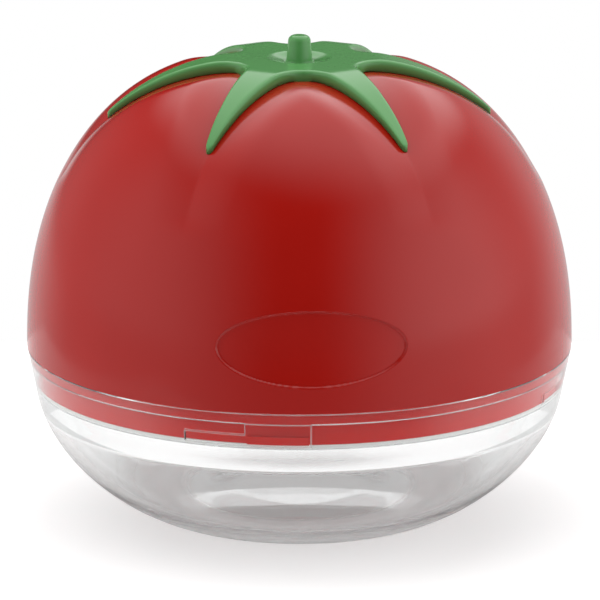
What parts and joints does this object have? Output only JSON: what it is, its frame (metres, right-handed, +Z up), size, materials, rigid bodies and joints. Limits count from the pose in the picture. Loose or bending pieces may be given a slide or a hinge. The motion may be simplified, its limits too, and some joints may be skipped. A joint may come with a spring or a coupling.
{
  "type": "tomato keeper",
  "caption": "Round food keeper shaped like a tomato: a clear bowl closed by a red dome lid that turns to lock and lifts off, with a green calyx and stem on top.",
  "frame": {"origin": "middle of the flat foot, on the table", "axes": "+Z up along the keeper's axis, -Y to the front where the oval recess is, +X to the right"},
  "size_m": [0.1142, 0.1142, 0.1015],
  "materials": {
    "clear_plastic": "clear, polished",
    "red_plastic": "glossy",
    "green_plastic": "satin gloss",
    "seal_rubber": "soft, translucent"
  },
  "bodies": {
    "bowl": {"bowl": "clear_plastic"},
    "seal": {"seal_ring": "seal_rubber"},
    "lid": {"dome_lid": "red_plastic", "calyx": "green_plastic"}
  },
  "joints": [
    {"name": "lid_lift", "type": "slide", "parent": "bowl", "child": "seal", "axis": [0, 0, 1], "range_m": [0, 0.1]},
    {"name": "lid_twist", "type": "hinge", "parent": "seal", "child": "lid", "pos_m": [0, 0, 0.036], "axis": [0, 0, 1], "range_deg": [-13.4, 0]}
  ]
}
